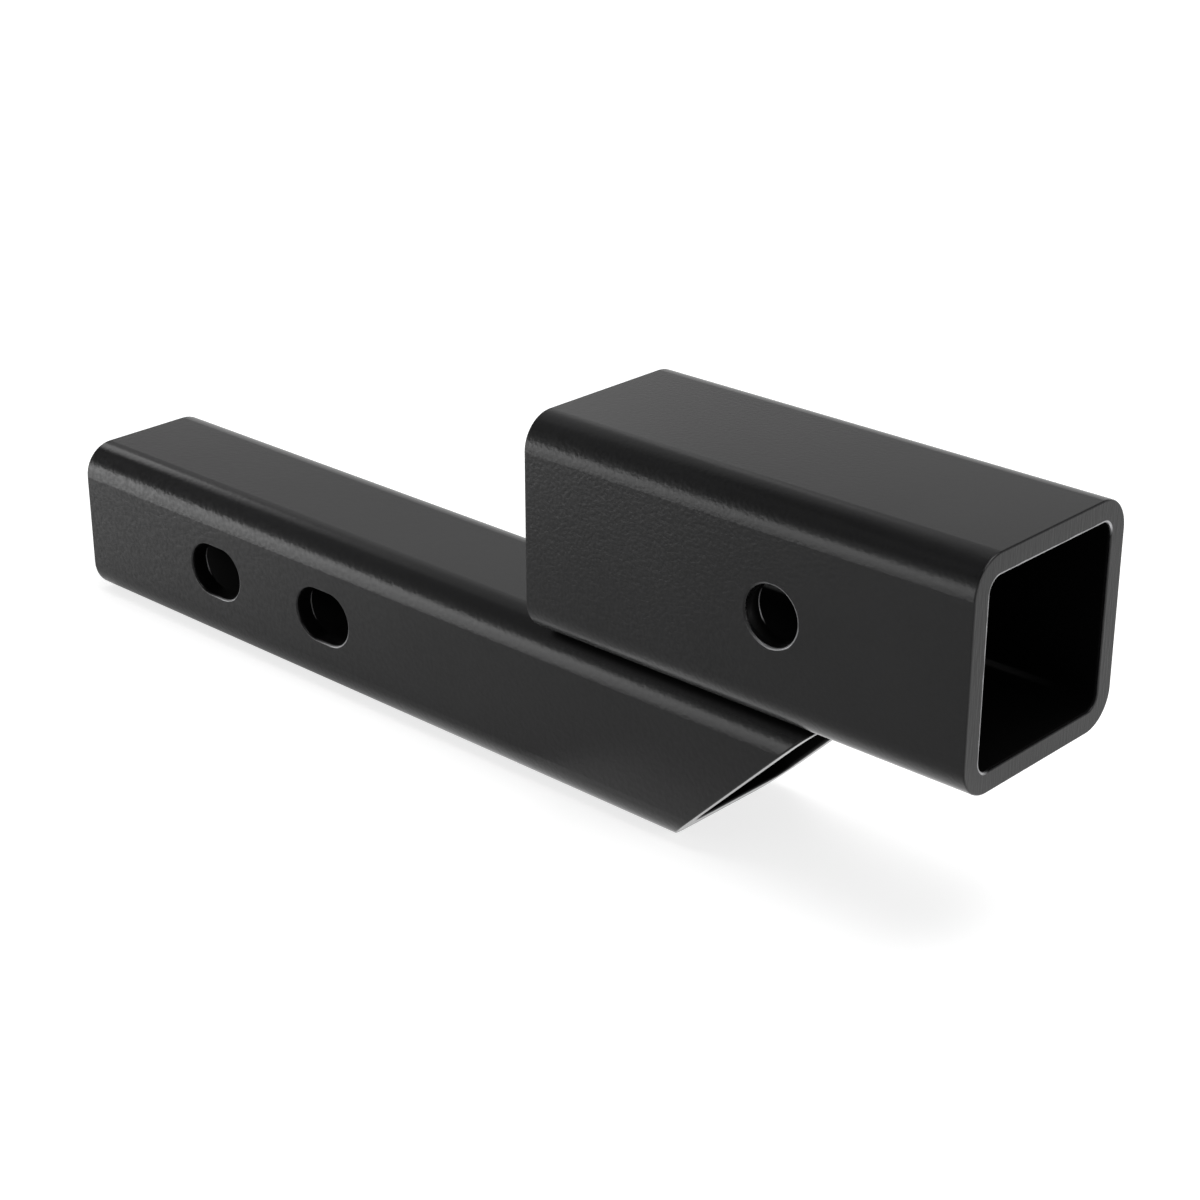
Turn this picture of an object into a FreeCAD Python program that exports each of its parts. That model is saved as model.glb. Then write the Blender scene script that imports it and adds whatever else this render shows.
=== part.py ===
import FreeCAD
import Part
import math
import os

# A hitch receiver extender: a square shank tube with a square receiver tube welded on top of it.
# Lengths are in millimetres. +X points to the open end of the receiver tube, +Z is up, and the
# origin is the middle of the overall length, on the centre plane, at the shank's underside.

# Shank tube: goes into the vehicle's hitch
shank_side = 50.8
shank_wall = 6.0
shank_corner_radius = 10.2
shank_top_length = 304.8
mitre_angle = 45.0

# Receiver tube: takes the accessory's shank
receiver_length = 146.05
receiver_overhang = 50.8
socket_clearance = 0.8
receiver_wall = 5.95
receiver_corner_radius = 10.0

# Holes for the hitch pin
pin_diameter = 15.9
pin_clearance = 1.0
slot_travel = 6.35
first_slot_distance = 65.1
slot_spacing = 50.8
slot_count = 2
receiver_pin_distance = 60.3

# Broken edges at the tube ends and at the rims of the holes
end_edge_radius = 0.45
rim_edge_radius = 0.55

# Weld beads in the grooves between the shank's round top corners and the receiver tube
weld_end_margin = 5.0
weld_root_angle = 12.0
weld_toe_angle = 34.0
weld_face_bulge = 0.35

# Sizes that follow from the ones above
receiver_side = shank_side + socket_clearance + 2 * receiver_wall
shank_inner_radius = shank_corner_radius - shank_wall
receiver_inner_radius = receiver_corner_radius - receiver_wall
mitre_run = shank_side * math.tan(math.radians(mitre_angle))
overall_length = shank_top_length + receiver_overhang
shank_start = -overall_length / 2
shank_top_end = shank_start + shank_top_length
receiver_end = shank_top_end + receiver_overhang
receiver_start = receiver_end - receiver_length
shank_mid_height = shank_side / 2
receiver_mid_height = shank_side + receiver_side / 2
pin_hole_radius = (pin_diameter + pin_clearance) / 2

same_place = 1e-4


def rounded_square(side, radius, x, mid_height):
    """Wire of a square with round corners, upright across the X axis."""
    half = side / 2
    flat = half - radius
    diagonal = flat + radius * math.sqrt(0.5)

    def point(y, z):
        return FreeCAD.Vector(x, y, mid_height + z)

    edges = []
    for quarter in range(4):
        turn = math.radians(90 * quarter)

        def turned(y, z):
            return point(y * math.cos(turn) - z * math.sin(turn), y * math.sin(turn) + z * math.cos(turn))

        edges.append(Part.makeLine(turned(half, -flat), turned(half, flat)))
        arc = Part.Arc(turned(half, flat), turned(diagonal, diagonal), turned(flat, half))
        edges.append(arc.toShape())
    return Part.Wire(edges)


def square_bar(side, radius, start, end, mid_height):
    """Solid bar with round corners from start to end along X."""
    face = Part.Face(rounded_square(side, radius, start, mid_height))
    return face.extrude(FreeCAD.Vector(end - start, 0, 0))


def square_tube(side, wall, corner_radius, inner_radius, start, end, mid_height):
    """Hollow bar with the same wall all round."""
    outside = square_bar(side, corner_radius, start, end, mid_height)
    hollow = square_bar(side - 2 * wall, inner_radius, start, end, mid_height)
    return outside.cut(hollow)


def pin_hole(x, mid_height, radius, travel, side):
    """Cutter for a pin hole through both side walls, drawn out along X by its travel."""
    reach = 2 * side
    cutter = None
    for offset in (-travel / 2, travel / 2):
        start = FreeCAD.Vector(x + offset, -reach / 2, mid_height)
        drill = Part.makeCylinder(radius, reach, start, FreeCAD.Vector(0, 1, 0))
        cutter = drill if cutter is None else cutter.fuse(drill)
    if travel > 0:
        corner = FreeCAD.Vector(x - travel / 2, -reach / 2, mid_height - radius)
        cutter = cutter.fuse(Part.makeBox(travel, reach, 2 * radius, corner))
    return cutter.removeSplitter()


def edges_where(shape, test):
    """Edges of the shape whose ends and middle all pass the test."""
    chosen = []
    for edge in shape.Edges:
        middle = edge.valueAt((edge.FirstParameter + edge.LastParameter) / 2)
        points = [vertex.Point for vertex in edge.Vertexes] + [middle]
        if all(test(p) for p in points):
            chosen.append(edge)
    return chosen


def break_end_edges(shape, on_end_plane):
    """Rounds the inner and outer edges of one tube end."""
    return shape.makeFillet(end_edge_radius, edges_where(shape, on_end_plane))


def break_hole_rims(shape, side, centres, mid_height, travel):
    """Rounds the rims of the pin holes on the outside of both side walls."""
    reach = pin_hole_radius + travel / 2 + same_place

    def on_rim(p):
        outside = abs(abs(p.y) - side / 2) < same_place
        beside = any(abs(p.x - centre) < reach for centre in centres)
        return outside and beside and abs(p.z - mid_height) < reach

    return shape.makeFillet(rim_edge_radius, edges_where(shape, on_rim))


def slot_centres():
    return [shank_start + first_slot_distance + i * slot_spacing for i in range(slot_count)]


def mitre_cutter():
    """Everything beyond the slanted end of the shank, whose top is longer than its underside."""
    half_width = shank_side
    top = FreeCAD.Vector(shank_top_end, -half_width, shank_side)
    bottom = FreeCAD.Vector(shank_top_end - mitre_run, -half_width, 0)
    slope = top - bottom
    beyond = FreeCAD.Vector(2 * mitre_run + shank_side, 0, 0)
    outline = [bottom - slope, top + slope, top + slope + beyond, bottom - slope + beyond]
    face = Part.Face(Part.makePolygon(outline + outline[:1]))
    return face.extrude(FreeCAD.Vector(0, 2 * half_width, 0))


def shank():
    """Square tube with a mitred end under the receiver tube and pin slots near its plain end."""
    body = square_tube(
        shank_side, shank_wall, shank_corner_radius, shank_inner_radius,
        shank_start, shank_top_end, shank_mid_height,
    )
    body = body.cut(mitre_cutter())
    for centre in slot_centres():
        body = body.cut(pin_hole(centre, shank_mid_height, pin_hole_radius, slot_travel, shank_side))

    def on_plain_end(p):
        return abs(p.x - shank_start) < same_place

    def on_mitre(p):
        return abs(p.x - (shank_top_end - mitre_run + mitre_run * p.z / shank_side)) < same_place

    body = break_end_edges(body, on_plain_end)
    body = break_end_edges(body, on_mitre)
    return break_hole_rims(body, shank_side, slot_centres(), shank_mid_height, slot_travel)


def receiver_tube():
    """Wider square tube on top of the shank, open at both ends, with a round pin hole."""
    body = square_tube(
        receiver_side, receiver_wall, receiver_corner_radius, receiver_inner_radius,
        receiver_start, receiver_end, receiver_mid_height,
    )
    centre = receiver_end - receiver_pin_distance
    body = body.cut(pin_hole(centre, receiver_mid_height, pin_hole_radius, 0, receiver_side))

    def on_start(p):
        return abs(p.x - receiver_start) < same_place

    def on_end(p):
        return abs(p.x - receiver_end) < same_place

    body = break_end_edges(body, on_start)
    body = break_end_edges(body, on_end)
    return break_hole_rims(body, receiver_side, [centre], receiver_mid_height, 0)


def weld_bead(side):
    """Bead that fills the groove between one top corner of the shank and the receiver tube.

    Its section lies between the shank's corner arc and the receiver tube's flat underside.
    The angles are measured at the arc's centre, from upright towards the outside.
    """
    start = receiver_start + weld_end_margin
    end = shank_top_end - weld_end_margin
    arc_centre_y = shank_side / 2 - shank_corner_radius
    arc_centre_z = shank_side - shank_corner_radius

    def on_corner(angle):
        turn = math.radians(angle)
        y = arc_centre_y + shank_corner_radius * math.sin(turn)
        z = arc_centre_z + shank_corner_radius * math.cos(turn)
        return FreeCAD.Vector(start, side * y, z)

    def under_receiver(below):
        return FreeCAD.Vector(start, below.y, shank_side)

    root = on_corner(weld_root_angle)
    toe = on_corner(weld_toe_angle)
    root_top = under_receiver(root)
    toe_top = under_receiver(toe)
    face_middle = (toe + toe_top) / 2 + FreeCAD.Vector(0, side * weld_face_bulge, 0)
    seat = Part.Arc(root, on_corner((weld_root_angle + weld_toe_angle) / 2), toe)
    face = Part.Arc(toe, face_middle, toe_top)
    section = Part.Wire([
        seat.toShape(),
        face.toShape(),
        Part.makeLine(toe_top, root_top),
        Part.makeLine(root_top, root),
    ])
    return Part.Face(section).extrude(FreeCAD.Vector(end - start, 0, 0))


def write(name, shape):
    solid = shape.Solids[0]
    if len(shape.Solids) != 1 or not solid.isValid():
        raise ValueError(name + " is not one sound solid")
    solid.exportStep("parts/" + name + ".step")
    print(name, round(solid.Volume / 1000, 2), "cm3")


os.makedirs("parts", exist_ok=True)
write("shank", shank())
write("receiver_tube", receiver_tube())
write("front_weld", weld_bead(-1))
write("rear_weld", weld_bead(1))
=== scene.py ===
import math

import bmesh
import bpy
import numpy as np
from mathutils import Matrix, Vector


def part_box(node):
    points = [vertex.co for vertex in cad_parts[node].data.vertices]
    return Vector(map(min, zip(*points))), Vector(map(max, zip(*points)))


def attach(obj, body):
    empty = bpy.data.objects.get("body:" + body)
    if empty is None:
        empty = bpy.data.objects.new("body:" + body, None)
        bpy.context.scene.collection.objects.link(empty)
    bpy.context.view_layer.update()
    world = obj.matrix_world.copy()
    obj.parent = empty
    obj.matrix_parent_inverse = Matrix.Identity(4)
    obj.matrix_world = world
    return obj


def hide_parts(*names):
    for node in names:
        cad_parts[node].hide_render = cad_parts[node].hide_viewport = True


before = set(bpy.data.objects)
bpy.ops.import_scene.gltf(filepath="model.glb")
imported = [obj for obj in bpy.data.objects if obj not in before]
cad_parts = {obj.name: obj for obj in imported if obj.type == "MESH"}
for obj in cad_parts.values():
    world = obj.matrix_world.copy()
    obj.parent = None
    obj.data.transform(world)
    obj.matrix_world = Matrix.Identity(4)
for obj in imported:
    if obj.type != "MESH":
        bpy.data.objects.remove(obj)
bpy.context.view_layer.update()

print("frame loaded:", sorted(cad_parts))

scene = bpy.context.scene
scene.view_settings.view_transform = "Standard"


def addNode(tree, kind, where, **settings):
    node = tree.nodes.new(kind)
    node.location = where
    for key, value in settings.items():
        setattr(node, key, value)
    return node


def setSocket(tree, socket, value):
    # Another node's output is linked; anything else becomes the socket's own value
    if isinstance(value, bpy.types.NodeSocket):
        tree.links.new(value, socket)
    else:
        socket.default_value = value


def mathNode(tree, operation, where, first, second=None, third=None):
    node = addNode(tree, "ShaderNodeMath", where, operation=operation)
    for socket, value in zip(node.inputs, (first, second, third)):
        if value is not None:
            setSocket(tree, socket, value)
    return node.outputs[0]


def axesNode(tree, where, vector):
    node = addNode(tree, "ShaderNodeSeparateXYZ", where)
    tree.links.new(vector, node.inputs[0])
    return node.outputs


def noiseNode(tree, where, vector, scale, detail, roughness=0.5):
    node = addNode(tree, "ShaderNodeTexNoise", where)
    for name, value in zip(("Vector", "Scale", "Detail", "Roughness"), (vector, scale, detail, roughness)):
        setSocket(tree, node.inputs[name], value)
    return node.outputs[0]


def rangeNode(tree, where, value, ends, results=(0.0, 1.0), kind="SMOOTHSTEP"):
    # Carries a value from the first end to the second over to the two results
    node = addNode(tree, "ShaderNodeMapRange", where, interpolation_type=kind)
    names = ("Value", "From Min", "From Max", "To Min", "To Max")
    for name, number in zip(names, (value, *ends, *results)):
        setSocket(tree, node.inputs[name], number)
    return node.outputs["Result"]


mixSpots = {"RGBA": (0, 6, 7, 2), "FLOAT": (0, 2, 3, 0)}  # a Mix node's factor, two values and result, by kind


def blendNode(tree, kind, where, factor, first, second):
    node = addNode(tree, "ShaderNodeMix", where, data_type=kind)
    *spots, result = mixSpots[kind]
    for spot, value in zip(spots, (factor, first, second)):
        setSocket(tree, node.inputs[spot], value)
    return node.outputs[result]


def newGroup(name, inputs, outputs):
    # Inputs and outputs: each socket's name and kind
    tree = bpy.data.node_groups.new(name, "ShaderNodeTree")
    for side, sockets in (("INPUT", inputs), ("OUTPUT", outputs)):
        for label, kind in sockets.items():
            tree.interface.new_socket(name=label, in_out=side, socket_type="NodeSocket" + kind)
    start = addNode(tree, "NodeGroupInput", (-1100, 0))
    end = addNode(tree, "NodeGroupOutput", (900, 0))
    return tree, start.outputs, end.inputs


def groupNode(tree, group, where, vector, **values):
    # In the name of a value an underscore stands for a space
    node = addNode(tree, "ShaderNodeGroup", where, node_tree=group)
    tree.links.new(vector, node.inputs["Vector"])
    for key, value in values.items():
        setSocket(tree, node.inputs[key.replace("_", " ")], value)
    return node.outputs


def placeGroup(tree, group, where, vector, **values):
    return groupNode(tree, group, where, vector, **values)[0]


effectSettings = {
    "toothFineness": 4.5,  # teeth of the coat in the width of one lump
    "peelRoughness": 0.4,  # how strongly a noise keeps its finer steps
    "poreEnds": (0.65, 0.35),  # height of the lumps at which a hollow begins, and at which it is complete
    "driftDetail": 3.0,
    "mottleDetail": 1.0,
    "mottleShare": 0.35,
    "toneEnds": (0.32, 0.68),  # noise values that give the darkest and the lightest tone
    "edgeNoiseScale": 260.0,  # lumps to a metre along an uneven edge
    "edgeNoiseDetail": 2.0,
    "edgeNoiseGain": 3.0,
    "edgeSoftness": 0.5,  # share of the edge's width over which it fades
    "sawDetail": 2.0,
}


def makeOrangePeel():
    # Low soft lumps of the baked powder, a slower waviness under them and a fine tooth on top, summed as
    # a height. Pores is 1 in the hollows between the lumps and 0 on their crowns
    e = effectSettings
    tree, start, end = newGroup(
        "orangePeel",
        {"Vector": "Vector", "Lump Size": "Float", "Wave Size": "Float", "Wave Share": "Float",
         "Tooth Share": "Float"},
        {"Height": "Float", "Pores": "Float"},
    )
    layers = (("Lump Size", 1.0, 1.0), ("Wave Size", 1.0, 0.0), ("Lump Size", e["toothFineness"], 0.0))
    heights = []
    for row, (size, fineness, detail) in enumerate(layers):
        scale = mathNode(tree, "DIVIDE", (-800, -200 * row), fineness, start[size])
        heights.append(noiseNode(tree, (-550, -200 * row), start["Vector"], scale, detail, e["peelRoughness"]))
    lumps, waves, teeth = heights
    withWaves = mathNode(tree, "MULTIPLY_ADD", (-250, 0), waves, start["Wave Share"], lumps)
    total = mathNode(tree, "MULTIPLY_ADD", (50, 0), teeth, start["Tooth Share"], withWaves)
    tree.links.new(total, end["Height"])
    tree.links.new(rangeNode(tree, (300, -200), lumps, e["poreEnds"], kind="LINEAR"), end["Pores"])
    return tree


def makeCoatTone():
    # Colour and roughness drift over a few centimetres, with a faint fine mottle of the pigment on top
    e = effectSettings
    tree, start, end = newGroup(
        "coatTone",
        {"Vector": "Vector", "Dark": "Color", "Light": "Color", "Drift Size": "Float", "Mottle Size": "Float",
         "Roughness Low": "Float", "Roughness High": "Float"},
        {"Color": "Color", "Roughness": "Float"},
    )
    tones = []
    layers = (("Drift Size", e["driftDetail"]), ("Mottle Size", e["mottleDetail"]))
    for row, (size, detail) in enumerate(layers):
        scale = mathNode(tree, "DIVIDE", (-800, -220 * row), 1.0, start[size])
        tones.append(noiseNode(tree, (-550, -220 * row), start["Vector"], scale, detail))
    drift = mathNode(tree, "MULTIPLY", (-400, 0), tones[0], 1 - e["mottleShare"])
    blend = mathNode(tree, "MULTIPLY_ADD", (-250, 0), tones[1], e["mottleShare"], drift)
    spread = rangeNode(tree, (0, 0), blend, e["toneEnds"], kind="LINEAR")
    colour = blendNode(tree, "RGBA", (300, 100), spread, start["Dark"], start["Light"])
    rough = blendNode(tree, "FLOAT", (300, -200), spread, start["Roughness Low"], start["Roughness High"])
    tree.links.new(colour, end["Color"])
    tree.links.new(rough, end["Roughness"])
    return tree


def makeTubeSection():
    # Distance from the walls of a square tube along X with round corners: below zero inside, above it outside
    tree, start, end = newGroup(
        "tubeSection",
        {"Vector": "Vector", "Mid Height": "Float", "Half Side": "Float", "Corner Radius": "Float"},
        {"Distance": "Float"},
    )
    axes = axesNode(tree, (-900, 0), start["Vector"])
    flat = mathNode(tree, "SUBTRACT", (-900, -250), start["Half Side"], start["Corner Radius"])
    upright = mathNode(tree, "SUBTRACT", (-700, -100), axes["Z"], start["Mid Height"])
    pastY = mathNode(tree, "SUBTRACT", (-350, 100), mathNode(tree, "ABSOLUTE", (-520, 100), axes["Y"]), flat)
    pastZ = mathNode(tree, "SUBTRACT", (-350, -100), mathNode(tree, "ABSOLUTE", (-520, -100), upright), flat)
    sideY = mathNode(tree, "MAXIMUM", (-150, 150), pastY, 0.0)
    sideZ = mathNode(tree, "MAXIMUM", (-150, 0), pastZ, 0.0)
    squareZ = mathNode(tree, "MULTIPLY", (0, 0), sideZ, sideZ)
    corner = mathNode(tree, "SQRT", (300, 100), mathNode(tree, "MULTIPLY_ADD", (150, 100), sideY, sideY, squareZ))
    within = mathNode(tree, "MINIMUM", (150, -150), mathNode(tree, "MAXIMUM", (0, -150), pastY, pastZ), 0.0)
    total = mathNode(tree, "ADD", (480, 0), corner, within)
    tree.links.new(mathNode(tree, "SUBTRACT", (660, 0), total, start["Corner Radius"]), end["Distance"])
    return tree


def makePinHole():
    # Distance from the wall of a pin hole along Y; a slot is the same hole drawn out along X by its travel
    tree, start, end = newGroup(
        "pinHole",
        {"Vector": "Vector", "Along": "Float", "Height": "Float", "Radius": "Float", "Travel": "Float"},
        {"Distance": "Float"},
    )
    axes = axesNode(tree, (-900, 0), start["Vector"])
    offset = mathNode(tree, "SUBTRACT", (-700, 100), axes["X"], start["Along"])
    halfTravel = mathNode(tree, "MULTIPLY", (-520, -50), start["Travel"], 0.5)
    past = mathNode(tree, "SUBTRACT", (-350, 100), mathNode(tree, "ABSOLUTE", (-520, 100), offset), halfTravel)
    past = mathNode(tree, "MAXIMUM", (-150, 100), past, 0.0)
    rise = mathNode(tree, "SUBTRACT", (-350, -150), axes["Z"], start["Height"])
    squares = mathNode(tree, "MULTIPLY_ADD", (150, 0), past, past, mathNode(tree, "MULTIPLY", (0, -150), rise, rise))
    radial = mathNode(tree, "SQRT", (320, 0), squares)
    tree.links.new(mathNode(tree, "SUBTRACT", (500, 0), radial, start["Radius"]), end["Distance"])
    return tree


def makeTubeEnds():
    # Distance in from the nearer end of a tube; the far end may lean, so its place is End + Lean x height
    tree, start, end = newGroup(
        "tubeEnds",
        {"Vector": "Vector", "Start": "Float", "End": "Float", "Lean": "Float"},
        {"Distance": "Float"},
    )
    axes = axesNode(tree, (-900, 0), start["Vector"])
    fromStart = mathNode(tree, "SUBTRACT", (-400, 150), axes["X"], start["Start"])
    farEnd = mathNode(tree, "MULTIPLY_ADD", (-600, -100), start["Lean"], axes["Z"], start["End"])
    fromEnd = mathNode(tree, "SUBTRACT", (-400, -100), farEnd, axes["X"])
    slope = mathNode(tree, "MULTIPLY_ADD", (-400, -300), start["Lean"], start["Lean"], 1.0)
    square = mathNode(tree, "DIVIDE", (-50, -150), fromEnd, mathNode(tree, "SQRT", (-220, -300), slope))
    tree.links.new(mathNode(tree, "MINIMUM", (200, 0), fromStart, square), end["Distance"])
    return tree


def makeGlintEdgeLine():
    # Painted highlight line along a sharp edge: 1 on the edge that two surfaces share, 0 beyond Width from it,
    # broken up by a noise so that the line is uneven
    e = effectSettings
    tree, start, end = newGroup(
        "glintEdgeLine",
        {"Vector": "Vector", "First Distance": "Float", "Second Distance": "Float", "Width": "Float",
         "Break Up": "Float"},
        {"Mask": "Float"},
    )
    first = mathNode(tree, "ABSOLUTE", (-800, 150), start["First Distance"])
    second = mathNode(tree, "ABSOLUTE", (-800, 0), start["Second Distance"])
    furthest = mathNode(tree, "MAXIMUM", (-600, 100), first, second)
    reach = mathNode(tree, "DIVIDE", (-400, 100), furthest, start["Width"])
    noise = noiseNode(tree, (-600, -200), start["Vector"], e["edgeNoiseScale"], e["edgeNoiseDetail"])
    centred = mathNode(tree, "SUBTRACT", (-500, -300), noise, 0.5)
    uneven = mathNode(tree, "MULTIPLY", (-400, -200), centred, e["edgeNoiseGain"])
    limit = mathNode(tree, "MULTIPLY_ADD", (-200, -100), uneven, start["Break Up"], 1.0)
    begin = mathNode(tree, "SUBTRACT", (-50, -150), limit, e["edgeSoftness"])
    past = mathNode(tree, "SUBTRACT", (0, 0), reach, begin)
    tree.links.new(rangeNode(tree, (200, 0), past, (e["edgeSoftness"], 0.0)), end["Mask"])
    return tree


def makeOneSide():
    # Weight that rises from 0 to 1 along a direction, measured from a centre
    tree, start, end = newGroup(
        "oneSide",
        {"Vector": "Vector", "Centre": "Vector", "Direction": "Vector", "Low": "Float", "High": "Float"},
        {"Weight": "Float"},
    )
    offset = addNode(tree, "ShaderNodeVectorMath", (-600, 0), operation="SUBTRACT")
    tree.links.new(start["Vector"], offset.inputs[0])
    tree.links.new(start["Centre"], offset.inputs[1])
    reach = addNode(tree, "ShaderNodeVectorMath", (-300, 0), operation="DOT_PRODUCT")
    tree.links.new(offset.outputs["Vector"], reach.inputs[0])
    tree.links.new(start["Direction"], reach.inputs[1])
    weight = rangeNode(tree, (200, 0), reach.outputs["Value"], (start["Low"], start["High"]))
    tree.links.new(weight, end["Weight"])
    return tree


def makeSawMarks():
    # Fine upright scratches of the cut under the coat: a noise drawn out along Z
    tree, start, end = newGroup(
        "sawMarks",
        {"Vector": "Vector", "Pitch": "Float", "Length": "Float"},
        {"Height": "Float"},
    )
    pitch = mathNode(tree, "DIVIDE", (-800, 0), 1.0, start["Pitch"])
    length = mathNode(tree, "DIVIDE", (-800, -150), 1.0, start["Length"])
    sizes = addNode(tree, "ShaderNodeCombineXYZ", (-600, 0))
    for socket, size in zip(sizes.inputs, (pitch, pitch, length)):
        tree.links.new(size, socket)
    drawn = addNode(tree, "ShaderNodeVectorMath", (-350, 0), operation="MULTIPLY")
    tree.links.new(start["Vector"], drawn.inputs[0])
    tree.links.new(sizes.outputs[0], drawn.inputs[1])
    noise = noiseNode(tree, (0, 0), drawn.outputs["Vector"], 1.0, effectSettings["sawDetail"])
    tree.links.new(noise, end["Height"])
    return tree


orangePeel = makeOrangePeel()
coatTone = makeCoatTone()
tubeSection = makeTubeSection()
pinHole = makePinHole()
tubeEnds = makeTubeEnds()
glintEdgeLine = makeGlintEdgeLine()
oneSide = makeOneSide()
sawMarks = makeSawMarks()
print("shared effects made")


coatSettings = {  # lengths in metres
    "dark": (0.0045, 0.0045, 0.0047, 1),
    "light": (0.0075, 0.0075, 0.0078, 1),
    "roughness": (0.21, 0.25),
    "ior": 1.35,
    "driftSize": 0.045,
    "mottleSize": 0.0006,
    "peelDepth": 0.00008,  # from the lowest to the highest value of the height
    "waveSize": 0.0055,
    "waveShare": 0.12,
    "toothShare": 0.1,
    "flatShare": 0.35,  # share of the depth on the top and the underside, where the powder flowed out
    "uprightEnds": (-0.004, 0.003),  # |y| less the distance up or down from the middle, from flat to upright
    "weldLumps": (0.0011, 0.1),
    "weldShare": 0.5,
    "scale": {"colour": (0.0012, 0.0012, 0.0012, 1), "roughness": 0.85, "metal": 0.92},  # bare mill scale inside, made near-black and dull as painted shade inside the tube, in the holes and in the groove
    "paintedGlint": {"colour": (0.42, 0.42, 0.43, 1), "roughness": 0.4, "metal": 0.7},  # painted highlight: a light metallic tone on edges that stands in for glints
    "cornerGlint": {"colour": (0.02, 0.02, 0.02, 1), "roughness": 0.5, "metal": 0.2},  # painted glint: a lighter streak along an inner corner
    "endDepth": (0.0003, 0.0012),  # how far in from an end the powder still covers the inside, and where it stops and the scale's painted shade is complete
    "endBreakUp": 0.2,
    "rimBreakUp": 0.35,
    "innerRimWidth": 0.0005,
    "innerRim": {"direction": (-1, 0, -0.15), "reach": (0.0068, 0.0084)},  # the side of a hole's inner rim that carries the painted highlight
    "outerRimWidth": 0.0007,
    "outerRimShare": 0.5,
    "cutDepth": (0.0004, 0.0001),  # distance from an end at which the saw marks begin, and are complete
    "sawShare": 0.9,
    "sawPitch": 0.0007,
    "sawLength": 0.006,
}

tubeSettings = {
    "shank": {
        "lumps": (0.0014, 0.42),  # size of the peel's lumps, and how much less the hollows between them mirror
        "smoother": (-0.16, 0.02, 0.25, 0.7),  # X where the peel starts and stops to fade; pores and depth left
        "rimWidth": 0.0005,  # width of the painted highlight line at the inner edge of an end
        "midHeight": 0.0254, "outer": (0.0254, 0.0102), "inner": (0.0194, 0.0042),  # half side, corner radius
        "start": -0.1778, "end": 0.0762, "lean": 1.0,
        "holes": [(-0.1127, 0.0254, 0.00635), (-0.0619, 0.0254, 0.00635)],  # place along, height, travel
        "holeRadius": 0.00845,
        "glintRimSide": {"direction": (0.6, 0.0, -0.8), "reach": (0.0039, 0.0109)},
        "powderDepth": (0.0004, 0.0012),  # how deep into a hole the powder still covers, and where it ends and the scale's painted shade is complete
        "glintEndSide": {"direction": (0.0, -1.0, 0.35), "reach": (0.004, 0.012)},
        # where the painted contact shadow under the receiver tube begins and is complete, along X and up
        "groove": {"start": (0.0285, 0.0345), "height": (0.0458, 0.0486)},
        "cornerGlint": None,
    },
    "receiver_tube": {
        "lumps": (0.0011, 0.18),
        "smoother": (0.085, 0.15, 0.35, 0.5),
        "rimWidth": 0.00072,
        "midHeight": 0.08255, "outer": (0.03175, 0.01), "inner": (0.0258, 0.00405),
        "start": 0.03175, "end": 0.1778, "lean": 0.0,
        "holes": [(0.1175, 0.08255, 0.0)],
        "holeRadius": 0.00845,
        "glintRimSide": {"direction": (0.7, 0.0, -0.1), "reach": (-0.006, 0.001)},
        "powderDepth": (0.0005, 0.0048),
        "glintEndSide": {"direction": (0.0, -1.0, 1.0), "reach": (-0.005, -0.001)},
        "groove": None,
        "cornerGlint": {  # where it starts and is complete: to the back, down, and in from the open end
            "out": (0.0247, 0.0253), "down": (0.0224, 0.0231), "along": (-0.168, -0.144),
        },
    },
}


def sideWeight(tree, where, vector, centre, direction, reach):
    low, high = reach
    return placeGroup(tree, oneSide, where, vector, Centre=centre, Direction=direction, Low=low, High=high)


def wallDistance(tree, where, vector, tube, wall):
    halfSide, radius = tube[wall]
    return placeGroup(tree, tubeSection, where, vector, Mid_Height=tube["midHeight"],
                      Half_Side=halfSide, Corner_Radius=radius)


def paintedGlintMask(tree, vector, tube, skin, hollow, ends):
    # 1 where a highlight is painted: along the inner edge of the ends, and on one side of each hole's two rims
    c = coatSettings
    glintEndSide, glintRimSide = tube["glintEndSide"], tube["glintRimSide"]
    middle = (0.0, 0.0, tube["midHeight"])
    edge = placeGroup(tree, glintEdgeLine, (-700, -400), vector, First_Distance=hollow, Second_Distance=ends,
                      Width=tube["rimWidth"], Break_Up=c["endBreakUp"])
    side = sideWeight(tree, (-700, -500), vector, middle, glintEndSide["direction"], glintEndSide["reach"])
    paintedGlint = mathNode(tree, "MULTIPLY", (-500, -450), edge, side)
    for number, (place, height, travel) in enumerate(tube["holes"]):
        y = -700 - 300 * number
        centre = (place, 0.0, height)
        hole = placeGroup(tree, pinHole, (-1000, y), vector, Along=place, Height=height,
                          Radius=tube["holeRadius"], Travel=travel)
        edge = placeGroup(tree, glintEdgeLine, (-700, y), vector, First_Distance=hollow, Second_Distance=hole,
                          Width=c["innerRimWidth"], Break_Up=c["rimBreakUp"])
        reach = [distance + travel / 2 for distance in c["innerRim"]["reach"]]
        side = sideWeight(tree, (-700, y - 70), vector, centre, c["innerRim"]["direction"], reach)
        inner = mathNode(tree, "MULTIPLY", (-500, y), edge, side)
        edge = placeGroup(tree, glintEdgeLine, (-700, y - 140), vector, First_Distance=skin, Second_Distance=hole,
                          Width=c["outerRimWidth"], Break_Up=c["rimBreakUp"])
        side = sideWeight(tree, (-700, y - 210), vector, centre, glintRimSide["direction"], glintRimSide["reach"])
        outer = mathNode(tree, "MULTIPLY", (-500, y - 140), edge, side)
        outer = mathNode(tree, "MULTIPLY", (-400, y - 100), outer, c["outerRimShare"])
        paintedGlint = mathNode(tree, "MAXIMUM", (-300, y), paintedGlint, mathNode(tree, "MAXIMUM", (-350, y), inner, outer))
    return paintedGlint


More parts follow.
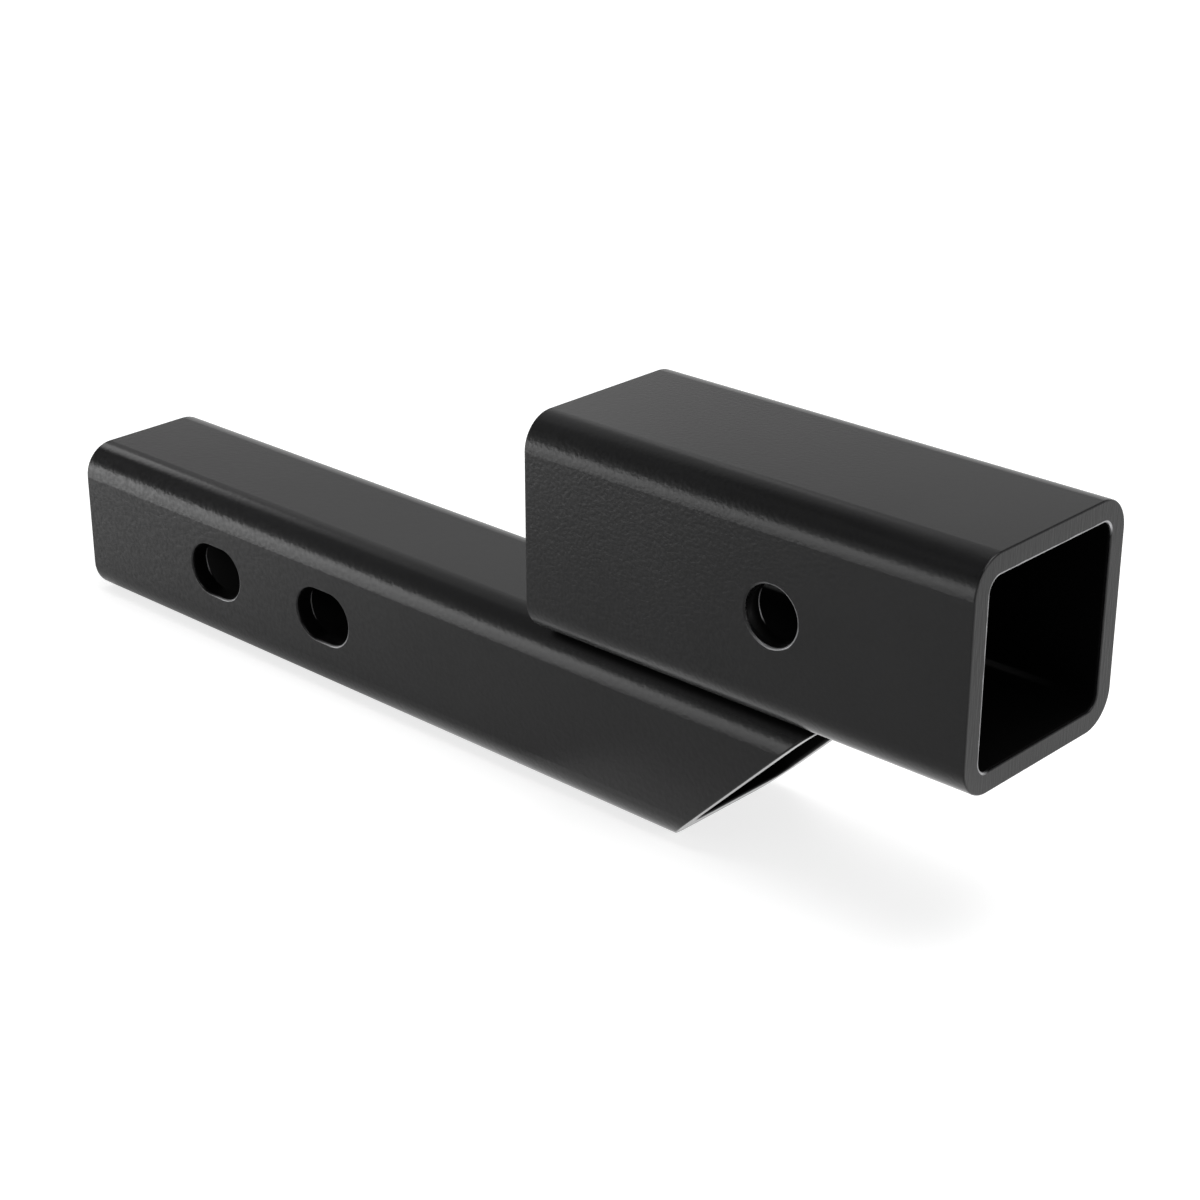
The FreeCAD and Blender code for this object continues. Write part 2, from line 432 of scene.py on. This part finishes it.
def cornerGlintMask(tree, vector, tube, scaleAndShade):
    # 1 on the painted glint along the inner lower corner at the back, deep in the tube
    cornerGlint, middle = tube["cornerGlint"], (0.0, 0.0, tube["midHeight"])
    out = sideWeight(tree, (-700, 200), vector, middle, (0, 1, 0), cornerGlint["out"])
    down = sideWeight(tree, (-700, 300), vector, middle, (0, 0, -1), cornerGlint["down"])
    deep = sideWeight(tree, (-700, 400), vector, (0, 0, 0), (-1, 0, 0), cornerGlint["along"])
    corner = mathNode(tree, "MULTIPLY", (-500, 250), out, down)
    return mathNode(tree, "MULTIPLY", (-300, 250), mathNode(tree, "MULTIPLY", (-400, 300), corner, deep), scaleAndShade)


def tubeMasks(tree, vector, tube):
    # First mask: 1 on the inner walls and in the holes, where bare scale is darkened into painted shade,
    # and in the groove beside the weld, where it is painted contact shadow
    skin = wallDistance(tree, (-1000, -100), vector, tube, "outer")
    hollow = wallDistance(tree, (-1000, -300), vector, tube, "inner")
    ends = placeGroup(tree, tubeEnds, (-1000, -500), vector, Start=tube["start"], End=tube["end"], Lean=tube["lean"])
    below = rangeNode(tree, (-700, -100), skin, [-depth for depth in tube["powderDepth"]])
    inward = rangeNode(tree, (-700, -250), ends, coatSettings["endDepth"])
    scaleAndShade = mathNode(tree, "MULTIPLY", (-500, -150), below, inward)
    # Painted contact shadow: the shank's corner in the groove under the receiver tube gets the dark scale look
    if tube["groove"]:
        along = sideWeight(tree, (-700, 0), vector, (0, 0, 0), (1, 0, 0), tube["groove"]["start"])
        up = sideWeight(tree, (-700, 100), vector, (0, 0, 0), (0, 0, 1), tube["groove"]["height"])
        scaleAndShade = mathNode(tree, "MAXIMUM", (-400, 0), scaleAndShade, mathNode(tree, "MULTIPLY", (-500, 50), along, up))
    paintedGlint = paintedGlintMask(tree, vector, tube, skin, hollow, ends)
    cornerGlint = cornerGlintMask(tree, vector, tube, scaleAndShade) if tube["cornerGlint"] else None
    return scaleAndShade, paintedGlint, cornerGlint, ends


def orangePeelCoat(tree, vector, tube):
    # Height of the peel and the pores in it; on a tube both are strongest on its upright sides and at its start
    c = coatSettings
    size, depth = tube["lumps"] if tube else c["weldLumps"]
    peel = groupNode(tree, orangePeel, (-1000, 550), vector, Lump_Size=size, Wave_Size=c["waveSize"],
                     Wave_Share=c["waveShare"], Tooth_Share=c["toothShare"])
    height = peel["Height"]
    pores = mathNode(tree, "MULTIPLY", (-700, 450), peel["Pores"], depth)
    if not tube:
        return mathNode(tree, "MULTIPLY", (-300, 550), height, c["weldShare"]), pores
    axes = axesNode(tree, (-1000, 750), vector)
    offset = mathNode(tree, "SUBTRACT", (-850, 700), axes["Z"], tube["midHeight"])
    rise = mathNode(tree, "ABSOLUTE", (-700, 700), offset)
    sideways = mathNode(tree, "SUBTRACT", (-550, 750), mathNode(tree, "ABSOLUTE", (-700, 850), axes["Y"]), rise)
    upright = rangeNode(tree, (-400, 750), sideways, c["uprightEnds"])
    share = mathNode(tree, "MULTIPLY_ADD", (-200, 700), upright, 1 - c["flatShare"], c["flatShare"])
    fadeStart, fadeEnd, poresLeft, depthLeft = tube["smoother"]
    faded = rangeNode(tree, (-700, 350), axes["X"], (fadeStart, fadeEnd))
    pores = mathNode(tree, "MULTIPLY", (-400, 400), pores,
                     mathNode(tree, "MULTIPLY_ADD", (-550, 350), faded, poresLeft - 1, 1.0))
    share = mathNode(tree, "MULTIPLY", (-120, 650), share,
                     mathNode(tree, "MULTIPLY_ADD", (-550, 250), faded, depthLeft - 1, 1.0))
    return mathNode(tree, "MULTIPLY", (-50, 600), height, share), mathNode(tree, "MULTIPLY", (-50, 500), pores, share)


def powderCoat(name, tube=None):
    material = bpy.data.materials.new(name)
    material.use_nodes = True
    tree = material.node_tree
    tree.nodes.clear()
    link = tree.links.new
    c = coatSettings
    vector = addNode(tree, "ShaderNodeTexCoord", (-1300, 0)).outputs["Object"]
    shader = addNode(tree, "ShaderNodeBsdfPrincipled", (500, 0))
    output = addNode(tree, "ShaderNodeOutputMaterial", (820, 0))
    link(shader.outputs[0], output.inputs["Surface"])
    shader.inputs["IOR"].default_value = c["ior"]

    tone = groupNode(tree, coatTone, (-1000, 300), vector, Dark=c["dark"], Light=c["light"],
                     Drift_Size=c["driftSize"], Mottle_Size=c["mottleSize"],
                     Roughness_Low=c["roughness"][0], Roughness_High=c["roughness"][1])
    colour, rough = tone["Color"], tone["Roughness"]
    height, metal = orangePeelCoat(tree, vector, tube)
    if tube:
        scaleAndShade, paintedGlint, cornerGlint, ends = tubeMasks(tree, vector, tube)
        # Laid on in turn: the dark scale that also paints the shade inside, the painted edge highlight and the
        # painted corner glint
        for x, mask, look in ((-100, scaleAndShade, c["scale"]), (150, paintedGlint, c["paintedGlint"]), (300, cornerGlint, c["cornerGlint"])):
            if mask is not None:
                colour = blendNode(tree, "RGBA", (x, 300), mask, colour, look["colour"])
                rough = blendNode(tree, "FLOAT", (x, 50), mask, rough, look["roughness"])
                metal = blendNode(tree, "FLOAT", (x, -150), mask, metal, look["metal"])
        saw = placeGroup(tree, sawMarks, (-1000, 900), vector, Pitch=c["sawPitch"], Length=c["sawLength"])
        sawHeight = mathNode(tree, "MULTIPLY", (50, 900), saw, c["sawShare"])
        cutFace = rangeNode(tree, (-100, 800), ends, c["cutDepth"])
        height = blendNode(tree, "FLOAT", (200, 700), cutFace, height, sawHeight)
    link(colour, shader.inputs["Base Color"])
    link(rough, shader.inputs["Roughness"])
    link(metal, shader.inputs["Metallic"])

    bump = addNode(tree, "ShaderNodeBump", (300, -350))
    bump.inputs["Distance"].default_value = c["peelDepth"]
    link(height, bump.inputs["Height"])
    link(bump.outputs[0], shader.inputs["Normal"])
    return material


def dress(piece, material):
    piece.data.materials.clear()
    piece.data.materials.append(material)


dress(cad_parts["shank"], powderCoat("shankCoat", tubeSettings["shank"]))
dress(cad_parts["receiver_tube"], powderCoat("receiverCoat", tubeSettings["receiver_tube"]))
print("tubes coated")


beadSettings = {  # lengths in metres
    "cornerRadius": 0.0102,  # the shank's round top corner, which the bead lies on
    "cornerCentre": (0.0152, 0.0406),  # middle of that corner's arc, out from the centre plane and up
    "rootAngle": 12.0,  # where the bead starts and ends on the arc, in degrees from upright
    "toeAngle": 34.0,
    "ceiling": 0.0508,  # underside of the receiver tube
    "gap": 0.00001,
    "bulge": 0.0003,
    "ripplePitch": 0.0015,
    "rippleDepth": 0.00016,
    "rippleCurve": 0.55,  # how far the middle of a ripple runs ahead of its edges, in pitches
    "rippleFlatness": 0.8,
    "unsteady": (0.25, 310),  # how far the ripples shift, in pitches, and radians of that wave to a metre
    "wander": 0.00008,
    "wanderWaves": (190, 83),  # radians to a metre
    "endLength": 0.0022,  # length over which each end tapers off
    "rings": 420,
    "ringSpread": 0.35,  # how far the rings are drawn from the ends towards the middle
    "seatSteps": 9,
    "faceSteps": 18,
    "backSteps": 6,
    "mergeDistance": 1e-7,
    "sharpAngle": 50,
}


def beadSection():
    # Closed outline in y and z: the seat follows the corner's arc from root to toe, the face is a shallow
    # parabola from the toe up to the ceiling, and the back closes it. The mask is 1 in the middle of the face
    b = beadSettings
    seatAngles = np.radians(np.linspace(b["rootAngle"], b["toeAngle"], b["seatSteps"]))
    radius = b["cornerRadius"] + b["gap"]
    centreY, centreZ = b["cornerCentre"]
    seat = np.stack([centreY + radius * np.sin(seatAngles), centreZ + radius * np.cos(seatAngles)], 1)
    top = b["ceiling"] - b["gap"]
    share = np.linspace(0, 1, b["faceSteps"])[1:]
    arch = 4 * share * (1 - share)
    face = np.stack([seat[-1, 0] + b["bulge"] * arch, seat[-1, 1] + (top - seat[-1, 1]) * share], 1)
    backY = np.linspace(seat[-1, 0], seat[0, 0], b["backSteps"])[1:]
    back = np.stack([backY, np.full(len(backY), top)], 1)
    outline = np.concatenate([seat, face, back])
    mask = np.concatenate([np.zeros(len(seat)), arch, np.zeros(len(back))])
    return outline, mask


def makeBead(name, node, side, coat):
    # The outline is carried along X. On the face it sinks by a row of crescent ripples, each a rounded step,
    # and by a slow sideways wander; at both ends the outline shrinks to its root along a quarter ellipse
    b = beadSettings
    low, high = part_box(node)
    outline, mask = beadSection()
    along = np.linspace(0, 1, b["rings"])
    spread = 1 - b["ringSpread"] * np.sin(np.pi * along) ** 2
    x = low[0] + (high[0] - low[0]) * (0.5 - 0.5 * np.cos(np.pi * along) * spread)
    toEnd = np.minimum(x - low[0], high[0] - x) / b["endLength"]
    size = np.sqrt(np.clip(1 - (1 - np.clip(toEnd, 0, 1)) ** 2, 0, 1))[:, None]
    x, mask = x[:, None], mask[None, :]

    shift, shiftWave = b["unsteady"]
    phase = x / b["ripplePitch"] + b["rippleCurve"] * mask + shift * np.sin(x * shiftWave + side)
    step = phase - np.floor(phase)
    ripple = b["rippleDepth"] * (1 - np.sqrt(np.clip(1 - step ** 2, 0, 1))) ** b["rippleFlatness"]
    slow, slower = b["wanderWaves"]
    wander = b["wander"] * (0.5 + 0.5 * np.sin(x * slow + 2 * side) * np.cos(x * slower))
    root = outline[0]
    across = root[0] + (outline[None, :, 0] - root[0]) * size - mask * (ripple + wander) * size
    up = root[1] + (outline[None, :, 1] - root[1]) * size
    points = np.stack([np.broadcast_to(x, across.shape), side * across, up], 2).reshape(-1, 3)

    count = len(outline)
    ring, spot = np.meshgrid(np.arange(b["rings"] - 1), np.arange(count), indexing="ij")
    here, following = ring * count, (ring + 1) * count
    nextSpot = (spot + 1) % count
    faces = np.stack([here + spot, here + nextSpot, following + nextSpot, following + spot], 2).reshape(-1, 4)
    if side > 0:
        faces = faces[:, ::-1]
    mesh = bpy.data.meshes.new(name)
    mesh.from_pydata(points.tolist(), [], faces.tolist())
    bead = bpy.data.objects.new(name, mesh)
    scene.collection.objects.link(bead)
    finishBead(bead, node, coat)


def finishBead(bead, node, coat):
    # Both ends have shrunk to a point, so merging the doubles closes them
    work = bmesh.new()
    work.from_mesh(bead.data)
    bmesh.ops.remove_doubles(work, verts=work.verts, dist=beadSettings["mergeDistance"])
    bmesh.ops.recalc_face_normals(work, faces=work.faces)
    work.to_mesh(bead.data)
    work.free()
    bead.data.polygons.foreach_set("use_smooth", np.ones(len(bead.data.polygons), dtype=bool))
    bead.data.set_sharp_from_angle(angle=math.radians(beadSettings["sharpAngle"]))
    bead.data.materials.append(coat)
    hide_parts(node)
    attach(bead, "root")


weldCoat = powderCoat("weldCoat")
makeBead("frontBead", "front_weld", -1, weldCoat)
makeBead("rearBead", "rear_weld", 1, weldCoat)
print("weld beads made")


floorSettings = {  # lengths in metres; the glow near the object is laid out in X and in |Y|
    "size": 16.0,
    "drop": 0.0001,
    "colour": (0.5, 0.5, 0.5, 1),
    "nearGlow": 0.74,  # added towards the camera, near the object and far away
    "farGlow": 1.0,
    "radius": (0.6, 1.6),  # where near ends and far begins
    "mirrorEven": 0.34,  # added in reflections everywhere
    "mirrorLeft": 0.42,  # to the left, but not right beside the tube
    "leftX": (0.0, -0.25),
    "leftY": (0.024, 0.04),
    "mirrorRight": 0.7,  # right beside the tube, from its middle to the right; the strip widens further right
    "rightX": (-0.075, 0.01),
    "rightInner": 0.026,
    "rightOuter": (0.036, 0.075),
    "widenX": (0.01, 0.04),
    "mirrorEnd": 0.37,  # past the receiver tube's open end
    "endX": (0.19, 0.24),
    "mirrorFar": 0.5,
    "sheenIor": 1.5,
    "sheenRoughness": 0.12,
    "sheenAngle": (0.14, 0.3),  # Fresnel values between which the paper turns from matt to glossy
    "sheenShare": (0.06, 0.92),
}


def mirrorGlow(tree, axes, distance):
    # Glow that only reflections see: the left, the strip beside the tube, the open end and the far floor
    f = floorSettings
    side = mathNode(tree, "ABSOLUTE", (-850, -350), axes["Y"])
    left = rangeNode(tree, (-700, 0), axes["X"], f["leftX"])
    clearOfTube = rangeNode(tree, (-700, -100), side, f["leftY"])
    right = rangeNode(tree, (-700, -200), axes["X"], f["rightX"])
    stripEdge = rangeNode(tree, (-900, -450), axes["X"], f["widenX"], f["rightOuter"])
    strip = rangeNode(tree, (-700, -350), side, (stripEdge, f["rightInner"]))
    pastEnd = rangeNode(tree, (-700, -400), axes["X"], f["endX"])
    farFloor = rangeNode(tree, (-700, -500), distance, f["radius"])
    parts = (
        ((-200, 0), mathNode(tree, "MULTIPLY", (-400, 0), left, clearOfTube), f["mirrorLeft"]),
        ((-50, -50), mathNode(tree, "MULTIPLY", (-400, -200), right, strip), f["mirrorRight"]),
        ((50, -75), pastEnd, f["mirrorEnd"]),
        ((100, -100), farFloor, f["mirrorFar"]),
    )
    total = f["mirrorEven"]
    for where, mask, strength in parts:
        total = mathNode(tree, "MULTIPLY_ADD", where, mask, strength, total)
    return total


def makeFloor():
    f = floorSettings
    half, z = f["size"] / 2, -f["drop"]
    mesh = bpy.data.meshes.new("studioFloor")
    mesh.from_pydata([(-half, -half, z), (half, -half, z), (half, half, z), (-half, half, z)], [], [(0, 1, 2, 3)])
    floor = bpy.data.objects.new("studioFloor", mesh)
    scene.collection.objects.link(floor)

    material = bpy.data.materials.new("studioPaper")
    material.use_nodes = True
    tree = material.node_tree
    tree.nodes.clear()
    link = tree.links.new
    output = addNode(tree, "ShaderNodeOutputMaterial", (1100, 0))
    total = addNode(tree, "ShaderNodeAddShader", (700, 0))
    diffuse = addNode(tree, "ShaderNodeBsdfDiffuse", (500, 100))
    diffuse.inputs["Color"].default_value = f["colour"]
    glow = addNode(tree, "ShaderNodeEmission", (500, -100))
    rays = addNode(tree, "ShaderNodeLightPath", (-600, -500)).outputs
    coords = addNode(tree, "ShaderNodeTexCoord", (-1200, 0)).outputs["Object"]
    length = addNode(tree, "ShaderNodeVectorMath", (-1000, 0), operation="LENGTH")
    link(coords, length.inputs[0])
    distance = length.outputs["Value"]
    seen = rangeNode(tree, (-700, 200), distance, f["radius"], (f["nearGlow"], f["farGlow"]))
    mirrored = mirrorGlow(tree, axesNode(tree, (-1000, -200), coords), distance)
    mirrored = mathNode(tree, "MULTIPLY", (200, -200), mirrored, rays["Is Glossy Ray"])
    direct = mathNode(tree, "MAXIMUM", (-300, -500), rays["Is Camera Ray"], rays["Is Transmission Ray"])
    link(mathNode(tree, "MULTIPLY_ADD", (350, -100), seen, direct, mirrored), glow.inputs["Strength"])
    link(diffuse.outputs[0], total.inputs[0])
    link(glow.outputs[0], total.inputs[1])

    polish = addNode(tree, "ShaderNodeBsdfGlossy", (700, -200))
    polish.inputs["Roughness"].default_value = f["sheenRoughness"]
    fresnel = addNode(tree, "ShaderNodeFresnel", (200, 400))
    fresnel.inputs["IOR"].default_value = f["sheenIor"]
    share = rangeNode(tree, (400, 400), fresnel.outputs[0], f["sheenAngle"], f["sheenShare"])
    surface = addNode(tree, "ShaderNodeMixShader", (900, 0))
    link(mathNode(tree, "MULTIPLY", (600, 400), share, rays["Is Glossy Ray"]), surface.inputs[0])
    link(total.outputs[0], surface.inputs[1])
    link(polish.outputs[0], surface.inputs[2])
    link(surface.outputs[0], output.inputs["Surface"])
    mesh.materials.append(material)


worldSteps = [  # height of the direction (sine of its angle above the horizon), brightness
    (0.0, 1.0), (0.17, 1.0), (0.37, 0.52), (0.45, 0.3), (0.6, 0.13), (1.0, 0.1),
]


def makeWorld():
    world = bpy.data.worlds.new("studioRoom")
    scene.world = world
    world.use_nodes = True
    tree = world.node_tree
    tree.nodes.clear()
    link = tree.links.new
    coords = addNode(tree, "ShaderNodeTexCoord", (-800, 0))
    axes = axesNode(tree, (-600, 0), coords.outputs["Generated"])
    ramp = addNode(tree, "ShaderNodeValToRGB", (-350, 0))
    background = addNode(tree, "ShaderNodeBackground", (0, 0))
    output = addNode(tree, "ShaderNodeOutputWorld", (250, 0))
    elements = ramp.color_ramp.elements
    while len(elements) < len(worldSteps):
        elements.new(0.5)
    for element, (position, tone) in zip(elements, worldSteps):
        element.position = position
        element.color = (tone, tone, tone, 1)
    link(axes["Z"], ramp.inputs["Fac"])
    link(ramp.outputs["Color"], background.inputs["Color"])
    link(background.outputs[0], output.inputs["Surface"])


makeFloor()
makeWorld()
print("floor and world made")


lampSettings = {  # place of the middle, the point it faces, width and height in metres, brightness of its face
    "topSoftbox": {"at": (0.22, 0.1, 1.25), "to": (0.0, 0.0, 0.0), "size": (1.1, 1.0), "glow": 3.9},
    "frontStripLeft": {"at": (-0.86, -0.6, 0.14), "to": (-0.12, 0.0, 0.14), "size": (0.3, 0.28), "glow": 4.45},
    "frontStripMiddle": {"at": (-0.64, -0.78, 0.14), "to": (0.0, 0.0, 0.14), "size": (0.27, 0.28), "glow": 3.25},
    "frontStripRight": {"at": (-0.4, -0.94, 0.14), "to": (0.05, 0.0, 0.14), "size": (0.27, 0.28), "glow": 2.65},
    "frontFill": {"at": (-0.72, -0.43, 0.76), "to": (0.0, 0.0, 0.05), "size": (0.75, 0.7), "glow": 0.19},
    "backFill": {"at": (-0.42, 0.72, 0.74), "to": (0.15, 0.0, 0.1), "size": (0.5, 0.22), "glow": 0.33},
    "leftPanel": {"at": (-0.986, 0.19, 0.676), "to": (-0.17, -0.02, 0.05), "size": (0.3, 0.15), "glow": 2.75},
    "backPanel": {"at": (-0.85, 0.46, 0.92), "to": (0.0, 0.0, 0.06), "size": (0.9, 0.8), "glow": 0.4},
    "backStrip": {"at": (0.0, 1.05, 0.14), "to": (0.0, 0.0, 0.1), "size": (0.7, 0.28), "glow": 0.8},
    "rightBox": {"at": (0.95, 0.1, 0.25), "to": (0.1, 0.0, 0.03), "size": (0.5, 0.4), "glow": 3.0},
}


def makeLamp(name, lamp):
    # An area lamp's power in watts is its brightness times its area times pi
    data = bpy.data.lights.new(name, "AREA")
    data.shape = "RECTANGLE"
    data.size, data.size_y = lamp["size"]
    data.energy = lamp["glow"] * lamp["size"][0] * lamp["size"][1] * math.pi
    thing = bpy.data.objects.new(name, data)
    thing.location = lamp["at"]
    direction = Vector(lamp["to"]) - Vector(lamp["at"])
    thing.rotation_euler = direction.to_track_quat("-Z", "Y").to_euler()
    thing.visible_camera = False
    scene.collection.objects.link(thing)


for lampName, lampValues in lampSettings.items():
    makeLamp(lampName, lampValues)
print("lamps made")


cameraSettings = {
    "at": (0.4793, -0.4819, 0.3412),
    "azimuth": 43.0,  # degrees, from the front towards the open end
    "elevation": 23.81,
    "lens": 76.09,  # millimetres, as the sensor
    "sensor": 36.0,
    "clipStart": 0.01,
}


def makeCamera():
    azimuth = math.radians(cameraSettings["azimuth"])
    elevation = math.radians(cameraSettings["elevation"])
    data = bpy.data.cameras.new("studioCamera")
    data.lens = cameraSettings["lens"]
    data.sensor_width = cameraSettings["sensor"]
    data.clip_start = cameraSettings["clipStart"]
    camera = bpy.data.objects.new("studioCamera", data)
    camera.location = cameraSettings["at"]
    camera.rotation_euler = (math.pi / 2 - elevation, 0, azimuth)
    scene.collection.objects.link(camera)
    scene.camera = camera


makeCamera()
print("camera made")
